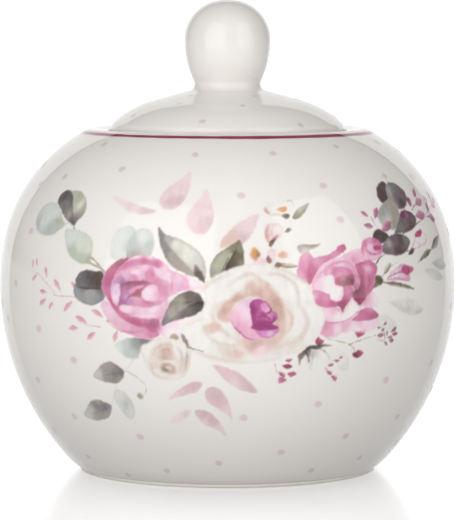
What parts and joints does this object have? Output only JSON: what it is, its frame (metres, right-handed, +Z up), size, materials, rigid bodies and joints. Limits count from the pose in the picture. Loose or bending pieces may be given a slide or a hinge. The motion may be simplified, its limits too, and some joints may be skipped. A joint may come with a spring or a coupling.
{
  "type": "sugar bowl",
  "caption": "Round-bellied porcelain sugar bowl with a low foot ring and a loose domed lid that lifts off by its egg-shaped hollow knob; printed floral spray and scattered pink dots.",
  "frame": {"origin": "centre of the plane that the foot ring stands on", "axes": "+Z up along the axis of revolution; the middle of the printed front faces -Y"},
  "size_m": [0.106, 0.106, 0.1092],
  "materials": {
    "bowl_porcelain": "clear gloss glaze over off-white porcelain, with a fired-on floral print, pale pink dots and a burgundy rim line; the foot ring's standing face is unglazed",
    "lid_porcelain": "clear gloss glaze over off-white porcelain, with pale pink printed dots; the face that rests in the bowl's mouth is unglazed",
    "knob_porcelain": "clear gloss glaze over off-white porcelain, plain"
  },
  "bodies": {
    "bowl": {"bowl": "bowl_porcelain"},
    "lid": {"lid": "lid_porcelain", "lid_knob": "knob_porcelain"}
  },
  "joints": [
    {"name": "lid_lift", "type": "slide", "parent": "bowl", "child": "lid", "axis": [0, 0, 1], "range_m": [0, 0.08]}
  ]
}
